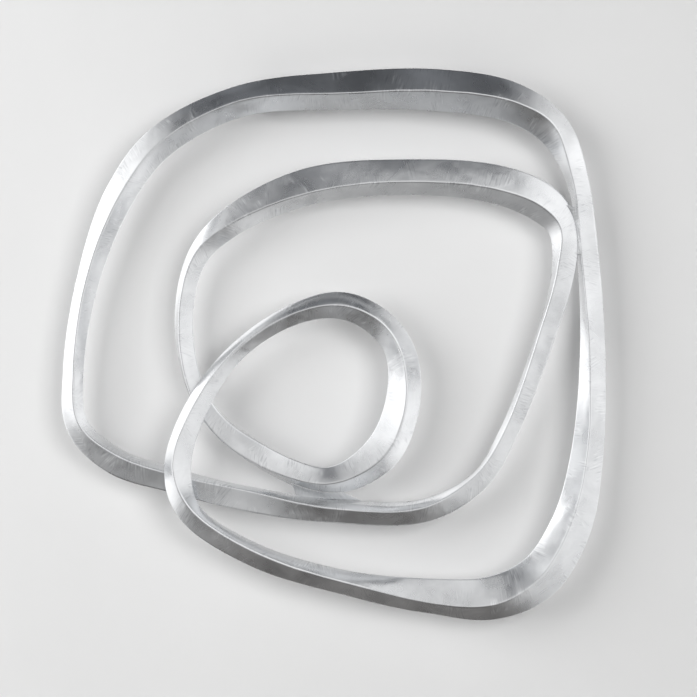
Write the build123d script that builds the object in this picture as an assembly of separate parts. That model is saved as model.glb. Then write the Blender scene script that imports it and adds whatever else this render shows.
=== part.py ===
from build123d import *
import math
import os

import numpy as np

# A wall sculpture: one square cast-aluminium bar that runs in three nested loops and closes on itself.
# +X is the viewer's right, +Z is up, the wall is the plane y = 0 and the front faces -Y.
# The origin lies on the wall, midway between the entry holes of the two keyhole hangers.

# ---- driving dimensions, mm ----
EDGE_RADIUS = 2
SECTION_SPACING = 24
FIT = 0.05

DOWEL_DIAMETER = 8
DOWEL_LENGTH = 32
DOWEL_END_ROOM = 0.5
DOWEL_CHAMFER = 0.8

# Where the front strand crosses a rear one, both are cut flat on one plane and held by a plug weld.
LAP_Y = -52
LAP_LENGTH = 60
FRONT_LAP_WIDTH = 60
REAR_LAP_WIDTH = 26
REAR_LAP_FRONT_Y = -104
PLUG_DIAMETER = 10
PLUG_FRONT_Y = -60
# A crossing is (x, z, heading of the front strand in degrees, y of the plug's back end).
CROSSINGS = {
    "plug_weld_upper": (-229, -404, 57, -30),
    "plug_weld_lower": (-256, -510, 105, -26),
}

FRONT_BARS = ("bar_bottom_left", "bar_rising")
REAR_BARS = ("bar_middle_left", "bar_middle_bottom")

# Where two strands run side by side, a weld bead fills the valley. A bead is (start, end, diameter).
BEADS = {
    "weld_bead_right": ((267, -54, -142), (270, -54, -200), 9),
    "weld_bead_bottom": ((-92, -43, -529), (-22, -43, -530), 12),
}
BARS_BESIDE = {
    "weld_bead_right": ("bar_outer_right", "bar_middle_top", "bar_middle_right"),
    "weld_bead_bottom": ("bar_inner_loop", "bar_inner_bottom", "bar_middle_bottom"),
}

HANGER_SPACING = 260
HANGER_LENGTH = 62
HANGER_HEIGHT = 26
HANGER_CENTRE_Z = 5
HANGER_SEAT_Y = -38
HANGER_CHAMFER = 0.8
HANGER_CLEARANCE = 0.3
PLATE_THICKNESS = 3
ENTRY_DIAMETER = 10
SLOT_WIDTH = 5.5
SLOT_RISE = 10
HEAD_ROOM_DIAMETER = 12
HEAD_ROOM_DEPTH = 8
SCREW_DIAMETER = 5
SCREW_LENGTH = 50
SCREW_HEAD_DIAMETER = 9.2
SCREW_HEAD_HEIGHT = 2.6
SCREW_RECESS = 0.2
SCREW_SOCKET = 3
SCREW_SOCKET_DEPTH = 1.8
SCREW_END_ROOM = 0.5
SCREW_SPACING = 46

BUMPER_DIAMETER = 12
BUMPER_DEPTH_IN_BAR = 12
CAP_DIAMETER = 18
CAP_LENGTH = 12
CAP_FLOOR = 4
CAP_ROUNDING = 1.5
# A bumper is (bar that it stands on, position along the bar counted in its own stations).
BUMPERS = {
    "lower_left": ("bar_outer_left", 0.6),
    "middle": ("bar_middle_bottom", 1.6),
    "lower_right": ("bar_bottom_right", 0.5),
}

# The bar's route, clockwise from the lower left corner. A station is
# (x, z, distance of the centreline from the wall, side of the square section, roll in degrees).
# The roll is the tilt of the facet that faces the inside of the loop, about the direction of travel.
BARS = {
    "bar_outer_left": [
        (-344, -482, 41, 29, 75),
        (-394, -435, 46, 23, 65),
        (-399, -361, 48, 21, 55),
        (-380, -242, 48, 23, 45),
        (-338, -130, 50, 30, 55),
    ],
    "bar_outer_top": [
        (-283, -58, 50, 32, 55),
        (-179, -5, 52, 31, 50),
        (-47, 9, 52, 37, 60),
        (85, 10, 52, 41, 55),
        (182, -6, 52, 39, 50),
    ],
    "bar_outer_right": [
        (237, -41, 50, 34, 45),
        (269, -106, 48, 24, 75),
        (284, -211, 46, 25, 85),
        (290, -343, 47, 26, 65),
        (282, -475, 49, 32, 50),
        (261, -566, 52, 40, 55),
    ],
    "bar_bottom_right": [
        (218, -634, 54, 44, 50),
        (157, -662, 54, 44, 35),
        (77, -660, 53, 37, 30),
    ],
    "bar_bottom_left": [
        (-29, -644, 53, 25, 50),
        (-158, -605, 57, 24, 65),
        (-244, -547, 64, 24, 65),
        (-259, -490, 67, 28, 30),
    ],
    "bar_rising": [
        (-240, -422, 65, 25, 30),
        (-188, -343, 62, 19, 35),
        (-113, -290, 60, 21, 40),
    ],
    "bar_inner_loop": [
        (-46, -275, 58, 27, 45),
        (5, -297, 57, 29, 40),
        (35, -338, 56, 30, 45),
        (37, -408, 55, 35, 35),
        (7, -473, 53, 37, 35),
    ],
    "bar_inner_bottom": [
        (-62, -507, 50, 27, 35),
    ],
    "bar_middle_left": [
        (-167, -465, 43, 28, 5),
        (-226, -409, 40, 23, 5),
        (-253, -311, 42, 21, 20),
        (-237, -215, 46, 22, 30),
    ],
    "bar_middle_top": [
        (-191, -165, 49, 29, 55),
        (-89, -118, 52, 38, 70),
        (40, -105, 52, 36, 65),
        (163, -115, 52, 39, 65),
        (225, -141, 50, 38, 60),
    ],
    "bar_middle_right": [
        (250, -172, 49, 30, 60),
        (251, -231, 48, 26, 80),
        (226, -320, 47, 23, 85),
        (178, -444, 47, 20, 75),
    ],
    "bar_middle_bottom": [
        (140, -507, 46, 23, 85),
        (67, -547, 46, 24, 65),
        (-52, -548, 44, 24, 60),
        (-171, -532, 40, 29, 85),
        (-262, -509, 38, 27, 75),
    ],
}

STATIONS = [np.array(station, float) for bar in BARS.values() for station in bar]


def station(index):
    return STATIONS[index % len(STATIONS)]


def span_length(index):
    return np.linalg.norm((station(index + 1) - station(index))[:2])


def route(position):
    """x, z, wall distance, side and roll at a position counted in stations, on a closed smooth curve."""
    first = math.floor(position)
    points = [station(first + step) for step in (-1, 0, 1, 2)]
    knots = [0.0]
    for step in (-1, 0, 1):
        knots.append(knots[-1] + math.sqrt(span_length(first + step)))
    t = knots[1] + (knots[2] - knots[1]) * (position - first)

    def blend(a, b, start, end):
        return ((end - t) * a + (t - start) * b) / (end - start)

    pairs = [blend(points[i], points[i + 1], knots[i], knots[i + 1]) for i in (0, 1, 2)]
    triples = [blend(pairs[i], pairs[i + 1], knots[i], knots[i + 2]) for i in (0, 1)]
    return blend(triples[0], triples[1], knots[1], knots[2])


def centre(position):
    x, z, wall_distance, side, roll = route(position)
    return Vector(x, -wall_distance, z)


def travel(position):
    step = 0.001
    return (centre(position + step) - centre(position - step)).normalized()


def cross_plane(position):
    """A plane across the bar: its X points out of the loop and its Y points at the viewer."""
    along = travel(position)
    outward = Vector(-along.Z, 0, along.X).normalized()
    return Plane(origin=centre(position), x_dir=outward, z_dir=along)


def section(position):
    x, z, wall_distance, side, roll = route(position)
    return cross_plane(position) * Rot(0, 0, roll) * RectangleRounded(side, side, EDGE_RADIUS)


def positions(first, last):
    """Positions from one station to another, no further apart than the section spacing."""
    found = [float(first)]
    for index in range(first, last):
        steps = math.ceil(span_length(index) / SECTION_SPACING)
        found += [index + step / steps for step in range(1, steps + 1)]
    return found


def first_station(name):
    names = list(BARS)
    return sum(len(BARS[before]) for before in names[: names.index(name)])


def bar(name):
    first = first_station(name)
    return loft([section(position) for position in positions(first, first + len(BARS[name]))])


def rod(start, end, radius):
    """A round rod from one point to another."""
    run = Vector(*end) - Vector(*start)
    return Solid.make_cylinder(radius, run.length, Plane(origin=start, z_dir=run.normalized()))


def rod_along_y(x, z, back_y, front_y, radius):
    return rod((x, back_y, z), (x, front_y, z), radius)


def box_between(x, z, back_y, front_y, length, height, heading=0):
    """A box between two depths, turned about Y so that its length follows a heading in the XZ plane."""
    place = Pos(x, (back_y + front_y) / 2, z) * Rot(0, -heading, 0)
    return place * Box(length, back_y - front_y, height)


def slug(start, end, radius):
    """A rod with round ends."""
    return rod(start, end, radius) + Pos(*start) * Sphere(radius) + Pos(*end) * Sphere(radius)


def y_inside(position, depth):
    """A depth measured into the bar from its back edge."""
    x, z, wall_distance, side, roll = route(position)
    reach = side / 2 * (math.cos(math.radians(roll)) + math.sin(math.radians(roll)))
    return -wall_distance + reach - depth


def make_dowel(first):
    """A pin along the bar through the joint at the start of a bar, and the hole that it lies in."""
    plane = cross_plane(first)
    pin = plane * Cylinder(DOWEL_DIAMETER / 2, DOWEL_LENGTH)
    pin = chamfer(pin.edges().filter_by(GeomType.CIRCLE), DOWEL_CHAMFER)
    hole = plane * Cylinder(DOWEL_DIAMETER / 2 + FIT, DOWEL_LENGTH + 2 * DOWEL_END_ROOM)
    return pin, hole


def add_dowels(parts):
    names = list(BARS)
    for index, name in enumerate(names):
        pin, hole = make_dowel(first_station(name))
        parts[name] = parts[name] - hole
        parts[names[index - 1]] = parts[names[index - 1]] - hole
        parts[name.replace("bar_", "dowel_")] = pin


def add_crossings(parts):
    for name, (x, z, heading, plug_back_y) in CROSSINGS.items():
        behind_front = box_between(x, z, 0, LAP_Y, LAP_LENGTH, FRONT_LAP_WIDTH, heading)
        before_rear = box_between(x, z, LAP_Y, REAR_LAP_FRONT_Y, LAP_LENGTH, REAR_LAP_WIDTH, heading)
        hole = rod_along_y(x, z, 0, PLUG_FRONT_Y, PLUG_DIAMETER / 2 + FIT)
        for bar_name in FRONT_BARS:
            parts[bar_name] = parts[bar_name] - behind_front - hole
        for bar_name in REAR_BARS:
            parts[bar_name] = parts[bar_name] - before_rear - hole
        parts[name] = rod_along_y(x, z, plug_back_y, PLUG_FRONT_Y, PLUG_DIAMETER / 2)


def add_beads(parts):
    for name, (start, end, diameter) in BEADS.items():
        groove = slug(start, end, diameter / 2 + FIT)
        for bar_name in BARS_BESIDE[name]:
            parts[bar_name] = parts[bar_name] - groove
        parts[name] = slug(start, end, diameter / 2)


def make_keyhole(x, back, front, slot_width, entry_diameter):
    """A round entry with a slot above it, cut from one depth to another."""
    entry = rod_along_y(x, 0, back, front, entry_diameter / 2)
    slot = box_between(x, SLOT_RISE / 2, back, front, slot_width, SLOT_RISE)
    slot_top = rod_along_y(x, SLOT_RISE, back, front, slot_width / 2)
    return entry + slot + slot_top


def make_screw(x):
    """A countersunk socket screw that points into the bar, and the hole for it."""
    back = -SCREW_RECESS
    plane = Plane(origin=(x, back, HANGER_CENTRE_Z), z_dir=(0, -1, 0))
    large = SCREW_HEAD_DIAMETER / 2
    small = SCREW_DIAMETER / 2
    head = Solid.make_cone(large, small, SCREW_HEAD_HEIGHT, plane)
    shank = rod_along_y(x, HANGER_CENTRE_Z, back, back - SCREW_LENGTH, small)
    socket = extrude(plane * RegularPolygon(SCREW_SOCKET / 2, 6, major_radius=False), SCREW_SOCKET_DEPTH)
    sink = Solid.make_cone(large + FIT, small + FIT, SCREW_HEAD_HEIGHT, plane)
    mouth = rod_along_y(x, HANGER_CENTRE_Z, 0, back, large + FIT)
    hole = rod_along_y(x, HANGER_CENTRE_Z, back, back - SCREW_LENGTH - SCREW_END_ROOM, small + FIT)
    return head + shank - socket, sink + mouth + hole


def add_hanger(parts, label, x, bar_name):
    """A block seated on the back of the bar, the keyhole plate on it and the two screws through both."""
    seat = box_between(
        x,
        HANGER_CENTRE_Z,
        0,
        HANGER_SEAT_Y,
        HANGER_LENGTH + 2 * HANGER_CLEARANCE,
        2 * HANGER_HEIGHT,
    )
    block = box_between(x, HANGER_CENTRE_Z, -PLATE_THICKNESS, HANGER_SEAT_Y, HANGER_LENGTH, HANGER_HEIGHT)
    block = chamfer(block.edges().filter_by(Axis.Y), HANGER_CHAMFER)
    plate = box_between(x, HANGER_CENTRE_Z, 0, -PLATE_THICKNESS, HANGER_LENGTH, HANGER_HEIGHT)
    plate = fillet(plate.edges().filter_by(Axis.Y), EDGE_RADIUS)
    head_room_front = -PLATE_THICKNESS - HEAD_ROOM_DEPTH
    block -= make_keyhole(x, -PLATE_THICKNESS, head_room_front, HEAD_ROOM_DIAMETER, HEAD_ROOM_DIAMETER)
    plate -= make_keyhole(x, 0, -PLATE_THICKNESS, SLOT_WIDTH, ENTRY_DIAMETER)
    parts[bar_name] = parts[bar_name] - seat
    for side, offset in (("a", -SCREW_SPACING / 2), ("b", SCREW_SPACING / 2)):
        screw, hole = make_screw(x + offset)
        block -= hole
        plate -= hole
        parts[bar_name] = parts[bar_name] - hole
        parts[f"hanger_screw_{label}_{side}"] = screw
    parts[f"hanger_block_{label}"] = block
    parts[f"keyhole_plate_{label}"] = plate


def add_bumper(parts, label, bar_name, offset):
    """A post let into the back of the bar, with a rubber cap on the end that meets the wall."""
    position = first_station(bar_name) + offset
    x, z = route(position)[:2]
    inner_y = y_inside(position, BUMPER_DEPTH_IN_BAR)
    radius = BUMPER_DIAMETER / 2
    parts[bar_name] = parts[bar_name] - rod_along_y(x, z, 0, inner_y, radius + FIT)
    parts[f"bumper_post_{label}"] = rod_along_y(x, z, -CAP_FLOOR, inner_y, radius)
    cap = rod_along_y(x, z, 0, -CAP_LENGTH, CAP_DIAMETER / 2)
    cap = fillet(cap.edges().filter_by(GeomType.CIRCLE), CAP_ROUNDING)
    parts[f"bumper_cap_{label}"] = cap - rod_along_y(x, z, -CAP_FLOOR, -CAP_LENGTH, radius + FIT)


parts = {name: bar(name) for name in BARS}
add_dowels(parts)
add_crossings(parts)
add_beads(parts)
add_hanger(parts, "left", -HANGER_SPACING / 2, "bar_outer_top")
add_hanger(parts, "right", HANGER_SPACING / 2, "bar_outer_top")
for label, (bar_name, offset) in BUMPERS.items():
    add_bumper(parts, label, bar_name, offset)

os.makedirs("parts", exist_ok=True)
for name, shape in parts.items():
    export_step(shape, f"parts/{name}.step")
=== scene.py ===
import math

import bmesh
import bpy
from mathutils import Matrix, Vector, noise


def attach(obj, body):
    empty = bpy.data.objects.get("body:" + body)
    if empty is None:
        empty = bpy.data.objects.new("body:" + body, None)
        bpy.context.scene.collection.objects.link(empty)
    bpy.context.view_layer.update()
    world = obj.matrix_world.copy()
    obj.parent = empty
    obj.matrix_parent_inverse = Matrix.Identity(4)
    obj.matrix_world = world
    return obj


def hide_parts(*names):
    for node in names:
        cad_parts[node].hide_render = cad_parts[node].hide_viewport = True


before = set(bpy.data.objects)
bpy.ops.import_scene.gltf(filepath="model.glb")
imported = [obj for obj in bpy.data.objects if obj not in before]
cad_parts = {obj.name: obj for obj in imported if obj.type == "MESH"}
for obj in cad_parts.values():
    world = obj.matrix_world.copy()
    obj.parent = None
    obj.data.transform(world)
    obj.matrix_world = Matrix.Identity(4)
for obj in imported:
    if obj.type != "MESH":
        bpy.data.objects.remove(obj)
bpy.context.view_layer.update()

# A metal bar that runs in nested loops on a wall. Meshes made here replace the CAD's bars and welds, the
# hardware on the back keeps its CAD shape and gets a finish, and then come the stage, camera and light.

# ---- the bar's route and shape ----
# A station is (x, z, distance of the centreline from the wall, side of the square section, roll in
# degrees), in metres. The route runs clockwise from the lower left corner and closes on itself.
BARS = {
    "bar_outer_left": [
        (-0.344, -0.482, 0.041, 0.029, 75),
        (-0.394, -0.435, 0.046, 0.023, 65),
        (-0.399, -0.361, 0.048, 0.021, 55),
        (-0.380, -0.242, 0.048, 0.023, 45),
        (-0.338, -0.130, 0.050, 0.030, 55),
    ],
    "bar_outer_top": [
        (-0.283, -0.058, 0.050, 0.032, 55),
        (-0.179, -0.005, 0.052, 0.031, 50),
        (-0.047, 0.009, 0.052, 0.037, 60),
        (0.085, 0.010, 0.052, 0.041, 55),
        (0.182, -0.006, 0.052, 0.039, 50),
    ],
    "bar_outer_right": [
        (0.237, -0.041, 0.050, 0.034, 45),
        (0.269, -0.106, 0.048, 0.024, 75),
        (0.284, -0.211, 0.046, 0.025, 85),
        (0.290, -0.343, 0.047, 0.026, 65),
        (0.282, -0.475, 0.049, 0.032, 50),
        (0.261, -0.566, 0.052, 0.040, 55),
    ],
    "bar_bottom_right": [
        (0.218, -0.634, 0.054, 0.044, 50),
        (0.157, -0.662, 0.054, 0.044, 35),
        (0.077, -0.660, 0.053, 0.037, 30),
    ],
    "bar_bottom_left": [
        (-0.029, -0.644, 0.053, 0.025, 50),
        (-0.158, -0.605, 0.057, 0.024, 65),
        (-0.244, -0.547, 0.064, 0.024, 65),
        (-0.259, -0.490, 0.067, 0.028, 30),
    ],
    "bar_rising": [
        (-0.240, -0.422, 0.065, 0.025, 30),
        (-0.188, -0.343, 0.062, 0.019, 35),
        (-0.113, -0.290, 0.060, 0.021, 40),
    ],
    "bar_inner_loop": [
        (-0.046, -0.275, 0.058, 0.027, 45),
        (0.005, -0.297, 0.057, 0.029, 40),
        (0.035, -0.338, 0.056, 0.030, 45),
        (0.037, -0.408, 0.055, 0.035, 35),
        (0.007, -0.473, 0.053, 0.037, 35),
    ],
    "bar_inner_bottom": [
        (-0.062, -0.507, 0.050, 0.027, 35),
    ],
    "bar_middle_left": [
        (-0.167, -0.465, 0.043, 0.028, 5),
        (-0.226, -0.409, 0.040, 0.023, 5),
        (-0.253, -0.311, 0.042, 0.021, 20),
        (-0.237, -0.215, 0.046, 0.022, 30),
    ],
    "bar_middle_top": [
        (-0.191, -0.165, 0.049, 0.029, 55),
        (-0.089, -0.118, 0.052, 0.038, 70),
        (0.040, -0.105, 0.052, 0.036, 65),
        (0.163, -0.115, 0.052, 0.039, 65),
        (0.225, -0.141, 0.050, 0.038, 60),
    ],
    "bar_middle_right": [
        (0.250, -0.172, 0.049, 0.030, 60),
        (0.251, -0.231, 0.048, 0.026, 80),
        (0.226, -0.320, 0.047, 0.023, 85),
        (0.178, -0.444, 0.047, 0.020, 75),
    ],
    "bar_middle_bottom": [
        (0.140, -0.507, 0.046, 0.023, 85),
        (0.067, -0.547, 0.046, 0.024, 65),
        (-0.052, -0.548, 0.044, 0.024, 60),
        (-0.171, -0.532, 0.040, 0.029, 85),
        (-0.262, -0.509, 0.038, 0.027, 75),
    ],
}
STATIONS = [Vector(station) for bar in BARS.values() for station in bar]

RING_SPACING = 0.002
ROUTE_STEP = 0.001
EDGE_RADIUS = 0.0020
EDGE_STEPS = 3
# Where the points of a facet lie, as shares of its width, and the share that its rounded edge takes up.
FACET_SHARES = (0.03, 0.12, 0.25, 0.375, 0.50, 0.625, 0.75, 0.88, 0.97)
EDGE_SHARE = 0.025
FACET_HOLLOW = 0.00022
FACET_CROWN = 0.0026
# The map that the ground metal's grain follows: u along the bar and v round it, this far for each facet.
STRIP_MAP = "Strip"
STRIP_FACET = 0.03
QUARTER = math.pi / 2

# Hand grinding, as waves of (height, wavelength, seed). SIDE_KEPT leaves each side a little under the
# CAD's, so that the waves stay inside the CAD box. The tilts are in degrees and the dents in metres.
SEED_SLANT = 0.37
SIDE_KEPT = 0.984
SIDE_WAVES = ((0.010, 0.045, 3),)
TILT_WAVES = ((1.5, 0.06, 11), (0.8, 0.022, 17))
DENT_WAVES = ((0.00020, 0.018, 31), (0.00010, 0.008, 47))
CROWN_WAVES = ((0.6, 0.05, 91),)


def station(index):
    return STATIONS[index % len(STATIONS)]


def span_length(index):
    a, b = station(index), station(index + 1)
    return math.hypot(b[0] - a[0], b[1] - a[1])


def route(position):
    """The station values at a position counted in stations, on a closed smooth curve."""
    first = math.floor(position)
    points = [station(first + step) for step in (-1, 0, 1, 2)]
    knots = [0.0]
    for step in (-1, 0, 1):
        knots.append(knots[-1] + math.sqrt(span_length(first + step)))
    t = knots[1] + (knots[2] - knots[1]) * (position - first)

    def blend(a, b, start, end):
        return ((end - t) * a + (t - start) * b) / (end - start)

    pairs = [blend(points[i], points[i + 1], knots[i], knots[i + 1]) for i in (0, 1, 2)]
    triples = [blend(pairs[i], pairs[i + 1], knots[i], knots[i + 2]) for i in (0, 1)]
    return blend(triples[0], triples[1], knots[1], knots[2])


def centre(position):
    x, z, wall_distance = route(position)[:3]
    return Vector((x, -wall_distance, z))


def ring_frame(position):
    """The centre, the outward direction and the direction to the viewer at a position."""
    along = (centre(position + ROUTE_STEP) - centre(position - ROUTE_STEP)).normalized()
    outward = Vector((-along.z, 0, along.x)).normalized()
    return centre(position), outward, along.cross(outward)


def wave(place, wavelength, seed):
    """Smooth noise from -1 to 1 with the given wavelength. Each seed looks at another part of it."""
    return noise.noise(place / wavelength + Vector((seed, SEED_SLANT * seed, -seed)))


def waves(place, parts, seed_shift=0):
    """The sum of several waves, each (height, wavelength, seed)."""
    return sum(height * wave(place, length, seed + seed_shift) for height, length, seed in parts)


def section_outline(half):
    """Points round a square with rounded corners, and how far round each is, counted in facets."""
    flat = half - EDGE_RADIUS
    outline = []
    for corner in range(4):
        turn = Matrix.Rotation(corner * QUARTER, 2)
        for step in range(EDGE_STEPS + 1):
            part = step / EDGE_STEPS
            angle = part * QUARTER
            point = Vector((flat + EDGE_RADIUS * math.cos(angle), flat + EDGE_RADIUS * math.sin(angle)))
            outline.append((turn @ point, corner + part * EDGE_SHARE))
        for share in FACET_SHARES:
            point = Vector((flat - 2 * flat * share, half))
            outline.append((turn @ point, corner + EDGE_SHARE + (1 - 2 * EDGE_SHARE) * share))
    return outline


def bow(share):
    """A smooth bulge over a width, 1 in its middle and nothing at its edges."""
    return math.sin(math.pi * share)


def make_ring(position):
    """One ring of points round the bar, with the small unevenness of hand grinding."""
    side, roll = route(position)[3:]
    middle, outward, to_viewer = ring_frame(position)
    side *= SIDE_KEPT + waves(middle, SIDE_WAVES)
    turn = Matrix.Rotation(math.radians(roll + waves(middle, TILT_WAVES)), 2)
    points = []
    for point, around in section_outline(side / 2):
        facet = int(around)
        across = turn @ point
        place = middle + outward * across.x + to_viewer * across.y
        normal = turn @ (Matrix.Rotation(facet * QUARTER, 2) @ Vector((0, 1)))
        facing = outward * normal.x + to_viewer * normal.y
        dent = waves(place, DENT_WAVES, facet)
        crown = FACET_CROWN * max(0.0, facing.z) ** 2 * (1 + waves(place, CROWN_WAVES))
        place += facing * bow(around - facet) * (dent - FACET_HOLLOW + crown)
        points.append((place, around * STRIP_FACET))
    return points


def positions(first, last):
    """Evenly spaced positions from one station to another."""
    found = [float(first)]
    for index in range(first, last):
        steps = math.ceil(span_length(index) / RING_SPACING)
        found += [index + step / steps for step in range(1, steps + 1)]
    return found


def link_object(name, data):
    """A new object of the scene that holds the given data."""
    made = bpy.data.objects.new(name, data)
    bpy.context.scene.collection.objects.link(made)
    return made


def smooth_object(name, mesh):
    """A smooth-shaded object from a bmesh, which is used up."""
    bmesh.ops.recalc_face_normals(mesh, faces=mesh.faces)
    data = bpy.data.meshes.new(name)
    mesh.to_mesh(data)
    mesh.free()
    for polygon in data.polygons:
        polygon.use_smooth = True
    return link_object(name, data)


def make_bar(name, first, last, walked):
    """One length of the bar as a swept mesh, and the length of route walked up to its end."""
    mesh = bmesh.new()
    strip = mesh.loops.layers.uv.new(STRIP_MAP)
    rings = []
    lengths = []
    before = centre(first)
    for position in positions(first, last):
        here = centre(position)
        walked += (here - before).length
        before = here
        rings.append([(mesh.verts.new(place), around) for place, around in make_ring(position)])
        lengths.append(walked)
    count = len(rings[0])
    for (ring, next_ring), (start, end) in zip(zip(rings, rings[1:]), zip(lengths, lengths[1:])):
        for i in range(count):
            j = (i + 1) % count
            corners = [ring[i], ring[j], next_ring[j], next_ring[i]]
            face = mesh.faces.new([vert for vert, around in corners])
            around = ring[j][1] if j else 4 * STRIP_FACET
            ends = (ring[i][1], around, around, ring[i][1])
            for loop, u, v in zip(face.loops, (start, start, end, end), ends):
                loop[strip].uv = (u, v)
    mesh.faces.new([vert for vert, around in reversed(rings[0])])
    mesh.faces.new([vert for vert, around in rings[-1]])
    mesh.faces.ensure_lookup_table()
    for face in mesh.faces[-2:]:
        for edge in face.edges:
            edge.smooth = False
    return smooth_object(name, mesh), walked


# ---- the welds' shapes ----
# A weld runs between two bars. Each side is (first position, last position, corner in the valley,
# corner out of the valley, share of that facet that the weld covers at its first and last position).
WELDS = {
    "weld_bead_right": (
        (40.49, 41.62, 3, 0, 0.16, 0.10),
        (11.40, 11.97, 0, 3, 0.10, 0.05),
    ),
    "weld_bead_bottom": (
        (31.40, 30.80, 3, 0, 0.36, 0.12),
        (47.44, 46.72, 1, 0, 0.26, 0.02),
    ),
}
CORNERS = ((1, 1), (-1, 1), (-1, -1), (1, -1))
WELD_ROWS = 90
WELD_COLUMNS = 14
# The face's slope is found over this share of its length and of its width.
WELD_STEP = 0.01
# At 0 the face would dip towards the bottom of the valley, and at 1 it would run straight from bar to bar.
WELD_FLATNESS = 0.55
# Depths below the weld's face: thin at the very tips, then full, and fullest along the middle.
WELD_SKIN = 0.0003
WELD_EDGE_DEPTH = 0.0015
WELD_BELLY_DEPTH = 0.0040
# The shares of the weld's length over which its two tips thicken.
WELD_NOSE_START = 0.10
WELD_NOSE_END = 0.30
# The face lies this far off the bars' facets, with waves and ripples along its middle.
WELD_LIFT = 0.00015
WELD_WAVES = ((0.00025, 0.007, 61),)
RIPPLE_LENGTH = 0.0042
RIPPLE_HEIGHT = 0.00012
RIPPLE_BOW = 0.0015
WELD_GRAIN_SLANT = 0.3


def corner_point(position, corner):
    """A sharp corner of the bar's square section."""
    side, roll = route(position)[3:]
    middle, outward, to_viewer = ring_frame(position)
    across = Matrix.Rotation(math.radians(roll), 2) @ (Vector(CORNERS[corner]) * side / 2)
    return middle + outward * across.x + to_viewer * across.y


def weld_points(side, along):
    """The valley corner and the weld's edge on one bar, at a share of the weld's length."""
    first, last, valley, open_corner, first_share, last_share = side
    position = first + (last - first) * along
    corner = corner_point(position, valley)
    share = first_share + (last_share - first_share) * along
    return corner, corner.lerp(corner_point(position, open_corner), share)


def weld_face(side_a, side_b, along, across):
    """A point on the fillet that leaves one bar and meets the other along their facets."""
    valley_a, a = weld_points(side_a, along)
    valley_b, b = weld_points(side_b, along)
    valley = ((valley_a + valley_b) / 2).lerp((a + b) / 2, WELD_FLATNESS)
    return a.lerp(valley, across).lerp(valley.lerp(b, across), across)


def make_weld(name, side_a, side_b):
    """A ground-down weld: a shallow fillet between two bars with faint ripples and tapered ends."""
    mesh = bmesh.new()
    strip = mesh.loops.layers.uv.new(STRIP_MAP)
    start = weld_face(side_a, side_b, 0, 0.5)
    fronts = []
    backs = []
    for row in range(WELD_ROWS + 1):
        along = row / WELD_ROWS
        from_nose = min(along / WELD_NOSE_START, (1 - along) / WELD_NOSE_END, 1.0)
        nose = math.sqrt(1 - (1 - from_nose) ** 2)
        front = []
        back = []
        for column in range(WELD_COLUMNS + 1):
            across = column / WELD_COLUMNS
            place = weld_face(side_a, side_b, along, across)
            step = weld_face(side_a, side_b, along + WELD_STEP, across) - place
            slope = weld_face(side_a, side_b, along, across + WELD_STEP) - place
            toward = step.cross(slope).normalized()
            if toward.y > 0:
                toward = -toward
            belly = bow(across)
            run = (place - start).length + RIPPLE_BOW * belly
            ripple = RIPPLE_HEIGHT * math.sin(2 * math.pi * run / RIPPLE_LENGTH)
            lift = WELD_LIFT + (ripple + waves(place, WELD_WAVES)) * belly
            front.append(mesh.verts.new(place + toward * lift))
            depth = WELD_SKIN + (WELD_EDGE_DEPTH + WELD_BELLY_DEPTH * belly) * nose
            back.append(mesh.verts.new(place - toward * depth))
        fronts.append(front)
        backs.append(back)

    for grid in (fronts, backs):
        for row in range(WELD_ROWS):
            for column in range(WELD_COLUMNS):
                lower = grid[row][column : column + 2]
                upper = grid[row + 1][column : column + 2]
                mesh.faces.new([lower[0], lower[1], upper[1], upper[0]])
    rims = []
    for column in (0, -1):
        rims.append([(front[column], back[column]) for front, back in zip(fronts, backs)])
    for row in (0, -1):
        rims.append(list(zip(fronts[row], backs[row])))
    for rim in rims:
        for (front, back), (next_front, next_back) in zip(rim, rim[1:]):
            mesh.faces.new([front, next_front, next_back, back])
    for face in mesh.faces:
        for loop in face.loops:
            offset = loop.vert.co - start
            loop[strip].uv = (offset.x + offset.z * WELD_GRAIN_SLANT, offset.z)
    return smooth_object(name, mesh)


# A plug weld is (x, z, y of its back face, y of its front end).
PLUGS = {
    "plug_weld_upper": (-0.229, -0.404, -0.030, -0.060),
    "plug_weld_lower": (-0.256, -0.510, -0.026, -0.060),
}
PLUG_RADIUS = 0.005
PLUG_SUNK = 0.0004
PUDDLE_RADIUS = 0.0072
PUDDLE_HEIGHT = 0.0011
PUDDLE_ROUNDNESS = 0.6
PUDDLE_RINGS = 14
PUDDLE_STEPS = 56
PUDDLE_RIPPLES = 2.5
PUDDLE_RIPPLE_HEIGHT = 0.00013
# The waves of the puddle's outline are a share of its radius, and those of its surface are in metres. Its
# edge gets this share of both, and its middle none.
PUDDLE_ROUGHNESS = 0.5
PUDDLE_OUTLINE_WAVES = ((1, 0.006, 71),)
PUDDLE_SURFACE_WAVES = ((0.00022, 0.0025, 83),)


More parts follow.
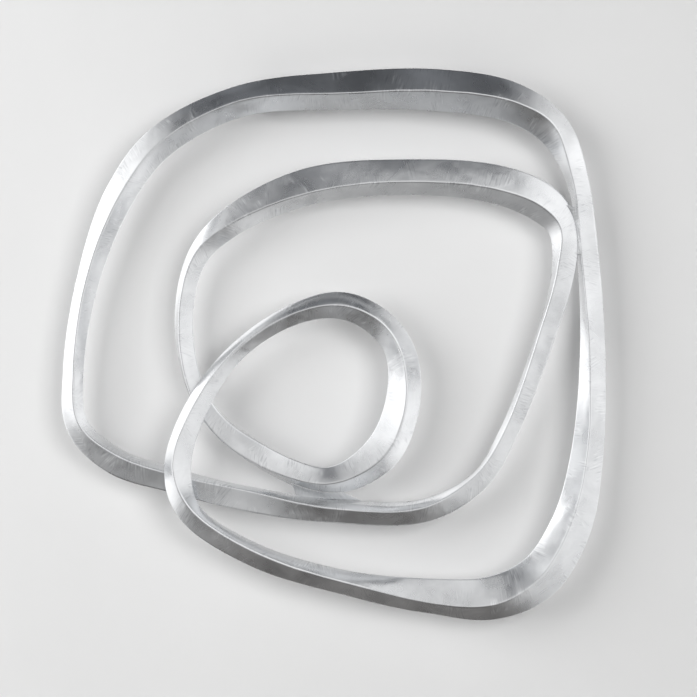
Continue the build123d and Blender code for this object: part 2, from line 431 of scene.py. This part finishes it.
def make_plug(name, x, z, back_y, front_y):
    """A plug weld: a rod through both bars with a rippled puddle on its back end."""
    mesh = bmesh.new()
    strip = mesh.loops.layers.uv.new(STRIP_MAP)

    def ring(radius, y, rough):
        verts = []
        for step in range(PUDDLE_STEPS):
            angle = 2 * math.pi * step / PUDDLE_STEPS
            place = Vector((x + radius * math.cos(angle), y, z + radius * math.sin(angle)))
            grow = 1 + rough * waves(place, PUDDLE_OUTLINE_WAVES)
            place.x = x + (place.x - x) * grow
            place.z = z + (place.z - z) * grow
            place.y += rough * waves(place, PUDDLE_SURFACE_WAVES)
            verts.append(mesh.verts.new(place))
        return verts

    rings = [ring(PLUG_RADIUS, front_y, 0), ring(PLUG_RADIUS, back_y - PLUG_SUNK, 0)]
    for index in range(PUDDLE_RINGS):
        share = 1 - index / PUDDLE_RINGS
        ripple = PUDDLE_RIPPLE_HEIGHT * math.sin(2 * math.pi * PUDDLE_RIPPLES * share)
        dome = PUDDLE_HEIGHT * (1 - share * share) ** PUDDLE_ROUNDNESS
        rings.append(ring(PUDDLE_RADIUS * share, back_y + dome + ripple, PUDDLE_ROUGHNESS * share))
    for ring_a, ring_b in zip(rings, rings[1:]):
        for i in range(PUDDLE_STEPS):
            j = (i + 1) % PUDDLE_STEPS
            mesh.faces.new([ring_a[i], ring_a[j], ring_b[j], ring_b[i]])
    mesh.faces.new(rings[0])
    mesh.faces.new(rings[-1])
    for face in mesh.faces:
        for loop in face.loops:
            loop[strip].uv = (loop.vert.co.x - x, loop.vert.co.z - z)
    return smooth_object(name, mesh)


# ---- materials ----
# Most of a noise texture's values lie between these two.
NOISE_SPREAD = (0.3, 0.7)
WHITE = (1.0, 1.0, 1.0, 1)


def rgba(colour, factor=1.0):
    """A colour for a socket, dimmed or brightened by a factor."""
    return tuple(channel * factor for channel in colour) + (1,)


class Nodes:
    """Short calls for building the node tree of a material or of the world."""

    def __init__(self, owner):
        self.owner = owner
        self.owner.use_nodes = True
        self.tree = owner.node_tree
        self.tree.nodes.clear()

    def add(self, kind, values=None, **settings):
        """A node with its settings made and its inputs set or linked."""
        node = self.tree.nodes.new("ShaderNode" + kind)
        for key, value in settings.items():
            setattr(node, key, value)
        for key, value in (values or {}).items():
            if isinstance(value, bpy.types.NodeSocket):
                self.tree.links.new(value, node.inputs[key])
            else:
                node.inputs[key].default_value = value
        return node

    def math(self, operation, *values):
        return self.add("Math", dict(enumerate(values)), operation=operation).outputs[0]

    def vector(self, operation, *values):
        return self.add("VectorMath", dict(enumerate(values)), operation=operation).outputs

    def noise(self, vector, scale, detail=2.0, rough=0.5, distortion=0.0):
        values = {
            "Vector": vector,
            "Scale": scale,
            "Detail": detail,
            "Roughness": rough,
            "Distortion": distortion,
        }
        return self.add("TexNoise", values).outputs["Fac"]

    def ramp(self, value, span, result=(0.0, 1.0), **settings):
        """A value carried from one span over to another, and held at its ends."""
        values = {
            "Value": value,
            "From Min": span[0],
            "From Max": span[1],
            "To Min": result[0],
            "To Max": result[1],
        }
        return self.add("MapRange", values, **settings).outputs[0]

    def mix(self, factor, a, b):
        return self.add("Mix", {0: factor, 6: a, 7: b}, data_type="RGBA").outputs[2]

    def bump(self, height, strength, distance, **inputs):
        values = {"Strength": strength, "Distance": distance, "Height": height, **inputs}
        return self.add("Bump", values).outputs[0]

    def blend(self, factor, a, b):
        """Shader a where the factor is 0, and shader b where it is 1."""
        return self.add("MixShader", {0: factor, 1: a.outputs[0], 2: b.outputs[0]})

    def end(self, kind, shader):
        """Join the shader to the output node, and hand back the material or world."""
        self.add("Output" + kind, {"Surface": shader.outputs[0]})
        return self.owner


# Ground metal. The marks lie in patches on the strip map, and each patch leans its own way. A stretch is
# how many marks there are in a metre along the bar, then across it. A lean is a pair of angles in radians.
PATCHES_PER_METRE = 24.0
STROKE_STRETCH = (520, 42, 1)
STROKE_LEAN = (-0.55, 0.40)
HAIR_STRETCH = (1900, 70, 1)
HAIR_LEAN = (0.35, -0.25)
# Where the disc has worked the metal, its strokes show. Those above one span are bright and rough, and
# those below the other are dull.
WORKED_SPAN = (0.50, 0.60)
BRIGHT_SPAN = (0.56, 0.66)
DULL_SPAN = (0.44, 0.34)
# Tone goes from 0, the darker colour, to 1, the lighter one.
GROUND_DARK = (0.57, 0.58, 0.595)
GROUND_LIGHT = (0.93, 0.94, 0.95)
CLOUD_TONES = (0.35, 0.72)
HAIR_TONES = (-0.05, 0.05)
BRIGHT_TONE = 0.30
DULL_TONE = 0.34
CLOUD_ROUGHNESS = (0.24, 0.33)
WORKED_ROUGHNESS = 0.04
BRIGHT_ROUGHNESS = 0.20
# How deep the hairs are next to the strokes, and the clouds next to the broad swell.
HAIR_DEPTH = 0.12
CLOUD_DEPTH = 0.22


def marks(nodes, strip, lean, angles, stretch, rough, detail):
    """Long thin marks across the bar, turned by each patch's lean."""
    angle = nodes.ramp(lean, (0, 1), angles)
    turned = nodes.add("VectorRotate", {"Vector": strip, "Angle": angle}, rotation_type="Z_AXIS")
    stretched = nodes.vector("MULTIPLY", turned.outputs[0], stretch)[0]
    return nodes.noise(stretched, scale=1.0, detail=detail, rough=rough)


def ground_aluminium(name):
    """Cast aluminium ground by hand: soft clouds, patches of short disc strokes and fine hair lines."""
    nodes = Nodes(bpy.data.materials.new(name))
    strip = nodes.add("UVMap", uv_map=STRIP_MAP).outputs[0]
    place = nodes.add("TexCoord").outputs["Object"]

    patch = nodes.add("TexVoronoi", {"Vector": strip, "Scale": PATCHES_PER_METRE, "Randomness": 1.0})
    lean = nodes.add("SeparateColor", {0: patch.outputs["Color"]}).outputs[0]
    strokes = marks(nodes, strip, lean, STROKE_LEAN, STROKE_STRETCH, rough=0.5, detail=1.5)
    hairs = marks(nodes, strip, lean, HAIR_LEAN, HAIR_STRETCH, rough=0.6, detail=2.0)
    worked = nodes.ramp(nodes.noise(place, scale=30.0, detail=2.0, rough=0.5), WORKED_SPAN)
    cloud = nodes.noise(place, scale=26.0, detail=3.0, rough=0.55, distortion=0.4)
    broad = nodes.noise(place, scale=11.0, detail=1.0, rough=0.5)
    bright = nodes.math("MULTIPLY", nodes.ramp(strokes, BRIGHT_SPAN), worked)
    dull = nodes.math("MULTIPLY", nodes.ramp(strokes, DULL_SPAN), worked)

    cloud_tone = nodes.ramp(cloud, NOISE_SPREAD, CLOUD_TONES)
    hair_tone = nodes.ramp(hairs, NOISE_SPREAD, HAIR_TONES)
    tone = nodes.math("ADD", cloud_tone, hair_tone)
    tone = nodes.math("ADD", tone, nodes.math("MULTIPLY", bright, BRIGHT_TONE))
    tone = nodes.math("SUBTRACT", tone, nodes.math("MULTIPLY", dull, DULL_TONE))

    rough = nodes.ramp(cloud, NOISE_SPREAD, CLOUD_ROUGHNESS)
    rough = nodes.math("ADD", rough, nodes.math("MULTIPLY", worked, WORKED_ROUGHNESS))
    rough = nodes.math("ADD", rough, nodes.math("MULTIPLY", bright, BRIGHT_ROUGHNESS))

    pressed = nodes.math("MULTIPLY", strokes, worked)
    height = nodes.math("ADD", pressed, nodes.math("MULTIPLY", hairs, HAIR_DEPTH))
    scored = nodes.bump(height, strength=0.30, distance=0.0004)
    swell = nodes.math("ADD", broad, nodes.math("MULTIPLY", cloud, CLOUD_DEPTH))
    wavy = nodes.bump(swell, strength=0.5, distance=0.0034, Normal=scored)
    shader = nodes.add(
        "BsdfPrincipled",
        {
            "Base Color": nodes.mix(tone, rgba(GROUND_DARK), rgba(GROUND_LIGHT)),
            "Metallic": 1.0,
            "Roughness": rough,
            "Anisotropic": 0.5,
            "Normal": wavy,
            "Tangent": nodes.add("Tangent", direction_type="UV_MAP", uv_map=STRIP_MAP).outputs[0],
        },
    )
    return nodes.end("Material", shader)


# Worn metal is this much darker, and its roughness lies this far under and over the one given.
WORN_SHADE = 0.72
WORN_ROUGHNESS = (-0.06, 0.08)
SPECK_DEPTH = 0.4


def plain_metal(name, colour, roughness, lines):
    """A milled or plated metal for the hardware: fine lines, specks and a little wear."""
    nodes = Nodes(bpy.data.materials.new(name))
    place = nodes.add("TexCoord").outputs["Object"]
    streak = nodes.noise(nodes.vector("MULTIPLY", place, lines)[0], scale=1.0, detail=3.0, rough=0.6)
    speck = nodes.noise(place, scale=600.0, detail=2.0, rough=0.5)
    cloud = nodes.noise(place, scale=60.0, detail=3.0, rough=0.55)
    streak_tone = nodes.ramp(streak, NOISE_SPREAD, (0, 0.6))
    cloud_tone = nodes.ramp(cloud, NOISE_SPREAD, (0, 0.4))
    factor = nodes.math("ADD", streak_tone, cloud_tone)
    rough = nodes.ramp(cloud, NOISE_SPREAD, tuple(roughness + change for change in WORN_ROUGHNESS))
    height = nodes.math("ADD", streak, nodes.math("MULTIPLY", speck, SPECK_DEPTH))
    shader = nodes.add(
        "BsdfPrincipled",
        {
            "Base Color": nodes.mix(factor, rgba(colour, WORN_SHADE), rgba(colour)),
            "Metallic": 1.0,
            "Roughness": rough,
            "Normal": nodes.bump(height, strength=0.4, distance=0.0002),
        },
    )
    return nodes.end("Material", shader)


RUBBER_BLACK = (0.018, 0.018, 0.019)
RUBBER_BLOOM = (0.05, 0.05, 0.052)


def rubber(name):
    """Black rubber with a fine grain and a faint grey bloom."""
    nodes = Nodes(bpy.data.materials.new(name))
    place = nodes.add("TexCoord").outputs["Object"]
    grain = nodes.noise(place, scale=900.0, detail=3.0, rough=0.6)
    bloom = nodes.noise(place, scale=120.0, detail=3.0, rough=0.6)
    faded = nodes.ramp(bloom, (0.35, 0.7))
    shader = nodes.add(
        "BsdfPrincipled",
        {
            "Base Color": nodes.mix(faded, rgba(RUBBER_BLACK), rgba(RUBBER_BLOOM)),
            "Roughness": nodes.ramp(bloom, NOISE_SPREAD, (0.6, 0.8)),
            "Normal": nodes.bump(grain, strength=0.5, distance=0.0002),
        },
    )
    return nodes.end("Material", shader)


MOTTLE_SHADE = 0.97


def plaster(name, colour, glow):
    """Painted wall or floor, faintly mottled. From behind it is clear, so the object's back can be seen."""
    nodes = Nodes(bpy.data.materials.new(name))
    place = nodes.add("TexCoord").outputs["Object"]
    mottle = nodes.noise(place, scale=3.0, detail=4.0, rough=0.55)
    grain = nodes.noise(place, scale=350.0, detail=2.0, rough=0.5)
    shade = nodes.ramp(mottle, NOISE_SPREAD)
    paint = nodes.add(
        "BsdfPrincipled",
        {
            "Base Color": nodes.mix(shade, rgba(colour, MOTTLE_SHADE), rgba(colour)),
            "Roughness": 0.85,
            "Normal": nodes.bump(grain, strength=0.15, distance=0.0003),
            "Emission Color": WHITE,
            "Emission Strength": glow,
        },
    )
    behind = nodes.add("NewGeometry").outputs["Backfacing"]
    return nodes.end("Material", nodes.blend(behind, paint, nodes.add("BsdfTransparent")))


# ---- bars and welds in place of their CAD nodes ----
bar_metal = ground_aluminium("ground_aluminium")
walked = 0.0
index = 0
for bar_name, stations in BARS.items():
    piece, walked = make_bar("ground_" + bar_name, index, index + len(stations), walked)
    index += len(stations)
    piece.data.materials.append(bar_metal)
    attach(piece, "root")
    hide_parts(bar_name)

plug_metal = plain_metal("plug_weld", (0.74, 0.75, 0.77), 0.36, (700, 700, 700))
for weld_name, (side_a, side_b) in WELDS.items():
    piece = make_weld("ground_" + weld_name, side_a, side_b)
    piece.data.materials.append(bar_metal)
    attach(piece, "root")
    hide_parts(weld_name)
for plug_name, shape in PLUGS.items():
    piece = make_plug("domed_" + plug_name, *shape)
    piece.data.materials.append(plug_metal)
    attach(piece, "root")
    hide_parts(plug_name)

# ---- hardware from the CAD ----
# A finish for every node whose name starts so. A metal's last three numbers are how many lines there are in
# a metre along x, y and z.
FINISHES = {
    "dowel_": plain_metal("dowel_steel", (0.62, 0.62, 0.63), 0.25, (900, 900, 900)),
    "hanger_block_": plain_metal("milled_aluminium", (0.66, 0.67, 0.69), 0.34, (1500, 1500, 80)),
    "keyhole_plate_": plain_metal("zinc_plate", (0.58, 0.58, 0.60), 0.30, (60, 800, 1200)),
    "hanger_screw_": plain_metal("zinc_screw", (0.50, 0.50, 0.53), 0.28, (700, 700, 700)),
    "bumper_post_": plain_metal("turned_aluminium", (0.66, 0.67, 0.69), 0.30, (60, 2000, 60)),
    "bumper_cap_": rubber("black_rubber"),
}
for node_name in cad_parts:
    for name_start, finish in FINISHES.items():
        if node_name.startswith(name_start):
            materials = bpy.data.objects[node_name].data.materials
            materials.clear()
            materials.append(finish)

# ---- wall and floor ----
HALF_WIDTH = 3.0
WALL_TOP = 1.7
FLOOR_Z = -1.7
FLOOR_GAP = 0.002
ROOM_DEPTH = 5.0
WALL_PAINT = (0.80, 0.80, 0.80)
FLOOR_BOUNCE_PAINT = (0.72, 0.72, 0.71)
FLOOR_PAINT = (0.60, 0.60, 0.595)
FLOOR_GLOW = 0.50


def flat_sheet(name, corners, material):
    """A sheet with four corners."""
    data = bpy.data.meshes.new(name)
    data.from_pydata(corners, [], [(0, 1, 2, 3)])
    data.materials.append(material)
    return link_object(name, data)


def floor_corners(back, height):
    """The corners of a floor from the front of the room to its back edge."""
    return [
        (-HALF_WIDTH, -ROOM_DEPTH, height),
        (HALF_WIDTH, -ROOM_DEPTH, height),
        (HALF_WIDTH, back, height),
        (-HALF_WIDTH, back, height),
    ]


WALL_CORNERS = [
    (-HALF_WIDTH, 0, FLOOR_Z),
    (HALF_WIDTH, 0, FLOOR_Z),
    (HALF_WIDTH, 0, WALL_TOP),
    (-HALF_WIDTH, 0, WALL_TOP),
]
wall = flat_sheet("wall", WALL_CORNERS, plaster("wall_paint", WALL_PAINT, glow=0.0))
# One floor sends light back up to the wall, and the other is what the camera sees, pale all over.
floor_bounce = flat_sheet(
    "floor_bounce",
    floor_corners(0, FLOOR_Z - FLOOR_GAP),
    plaster("floor_bounce_paint", FLOOR_BOUNCE_PAINT, glow=0.0),
)
floor = flat_sheet(
    "floor",
    floor_corners(ROOM_DEPTH, FLOOR_Z),
    plaster("floor_paint", FLOOR_PAINT, glow=FLOOR_GLOW),
)
floor_bounce.visible_camera = False
floor.visible_diffuse = False
for sheet in (wall, floor_bounce, floor):
    sheet.visible_glossy = False

# ---- camera ----
VIEW_FROM = (-0.034, -2.45, -0.332)
SENSOR_WIDTH = 36.0
# The lens shows this width at this distance.
VIEW_WIDTH = 0.9242
VIEW_DISTANCE = 2.40
camera_data = bpy.data.cameras.new("camera")
camera_data.sensor_width = SENSOR_WIDTH
camera_data.lens = SENSOR_WIDTH * VIEW_DISTANCE / VIEW_WIDTH
camera = link_object("camera", camera_data)
camera.location = VIEW_FROM
camera.rotation_euler = (math.pi / 2, 0, 0)
bpy.context.scene.camera = camera

# ---- light ----
OBJECT_MIDDLE = (-0.05, 0, -0.33)


def softbox(name, place, size, power):
    """A soft lamp that lights the room but isn't mirrored in the metal."""
    data = bpy.data.lights.new(name, "AREA")
    data.shape = "SQUARE"
    data.size = size
    data.energy = power
    light = link_object(name, data)
    light.location = place
    light.rotation_euler = (Vector(OBJECT_MIDDLE) - Vector(place)).to_track_quat("-Z", "Y").to_euler()
    light.visible_glossy = False


# What the metal mirrors: an even level, with lobes of (direction in the room, strength) added. A lobe fades
# out over some 57 degrees, which is where the cosine falls to LOBE_EDGE.
MIRRORED_LEVEL = 0.10
LOBE_EDGE = 0.55
LOBES = [
    ((-1, 0, 0), 1.16),
    ((-1, 1, 1), 0.86),
    ((-1, -1, 0), 0.30),
    ((-1, 0, 1), 0.24),
    ((-1, 1, 0), 0.17),
    ((1, 1, 0), 0.81),
    ((1, -1, 0), 0.63),
    ((1, 0, -1), 0.57),
    ((1, 0, 1), 0.46),
    ((1, -1, 1), 0.34),
    ((1, 0, 0), 0.11),
    ((0, 1, -1), 0.27),
    ((0, -1, 0), 0.25),
    ((0, 0, 1), 0.29),
    ((0, -1, 1), 0.25),
    ((-1, 0, -1), 0.06),
    ((0, 1, 0), 0.06),
]
FILL_LEVEL = 0.03
BACKGROUND = (0.80, 0.80, 0.80, 1)


def surroundings():
    """The room: soft lobes for reflections, an even fill for the rest and a pale grey background."""
    nodes = Nodes(bpy.data.worlds.new("room"))
    bpy.context.scene.world = nodes.owner
    look = nodes.add("TexCoord").outputs["Generated"]
    level = MIRRORED_LEVEL
    for direction, strength in LOBES:
        toward = nodes.vector("DOT_PRODUCT", look, Vector(direction).normalized())["Value"]
        lobe = nodes.ramp(toward, (LOBE_EDGE, 1.0), (0.0, strength), interpolation_type="SMOOTHSTEP")
        level = nodes.math("ADD", level, lobe)
    mirrored = nodes.add("Background", {"Color": WHITE, "Strength": level})
    fill = nodes.add("Background", {"Color": WHITE, "Strength": FILL_LEVEL})
    pale = nodes.add("Background", {"Color": BACKGROUND, "Strength": 1.0})
    path = nodes.add("LightPath").outputs
    lit = nodes.blend(path["Is Glossy Ray"], fill, mirrored)
    nodes.end("World", nodes.blend(path["Is Camera Ray"], lit, pale))


# Three soft dark flags that only reflections see, each (left, right, back, front, height, colour). Their
# grey is blotchy, between two factors of that colour.
CARDS = {
    "flag_above": (-0.52, 0.39, 0.25, -0.35, 0.20, (0.150, 0.156, 0.167)),
    "flag_above_left": (-0.45, 0.02, -0.18, -0.58, 0.19, (0.200, 0.205, 0.216)),
    "flag_below": (-0.43, 0.34, 0.20, -0.40, -0.84, (0.190, 0.184, 0.180)),
}
CARD_SOFT_EDGE = 0.11
CARD_BLOTCH_SCALE = 8.0
CARD_BLOTCH_SPREAD = (0.38, 0.62)
CARD_BLOTCH_SHIFT = (0.145, 0, 0)
CARD_DARKEST = 0.55
CARD_LIGHTEST = 1.5


def dark_card(name, left, right, back, front, height, colour):
    """A flag that lies level above or below the object and fades out towards its edges."""
    nodes = Nodes(bpy.data.materials.new(name))
    spot = nodes.add("TexCoord").outputs["Object"]
    x, y = nodes.add("SeparateXYZ", {0: spot}).outputs[:2]
    from_left = nodes.math("SUBTRACT", x, left)
    from_right = nodes.math("SUBTRACT", right, x)
    from_back = nodes.math("SUBTRACT", back, y)
    from_front = nodes.math("SUBTRACT", y, front)
    from_side = nodes.math("MINIMUM", from_left, from_right)
    from_end = nodes.math("MINIMUM", from_back, from_front)
    cover = nodes.ramp(nodes.math("MINIMUM", from_side, from_end), (0, CARD_SOFT_EDGE))
    moved = nodes.vector("ADD", spot, CARD_BLOTCH_SHIFT)[0]
    blotch = nodes.noise(moved, CARD_BLOTCH_SCALE, detail=1.0, rough=0.5)
    shade = nodes.ramp(blotch, CARD_BLOTCH_SPREAD)
    grey = nodes.mix(shade, rgba(colour, CARD_DARKEST), rgba(colour, CARD_LIGHTEST))
    card_shader = nodes.blend(cover, nodes.add("BsdfTransparent"), nodes.add("Emission", {"Color": grey}))
    material = nodes.end("Material", card_shader)
    corners = [(left, back, height), (right, back, height), (right, front, height), (left, front, height)]
    card = flat_sheet(name, corners, material)
    card.visible_camera = False
    card.visible_diffuse = False
    card.visible_shadow = False


surroundings()
for card_name, card in CARDS.items():
    dark_card(card_name, *card)
softbox("key_light", (-2.25, -2.2, 0.50), size=2.5, power=80)
softbox("front_light", (1.2, -2.9, 0.1), size=1.5, power=42)
bpy.context.scene.view_settings.view_transform = "Standard"
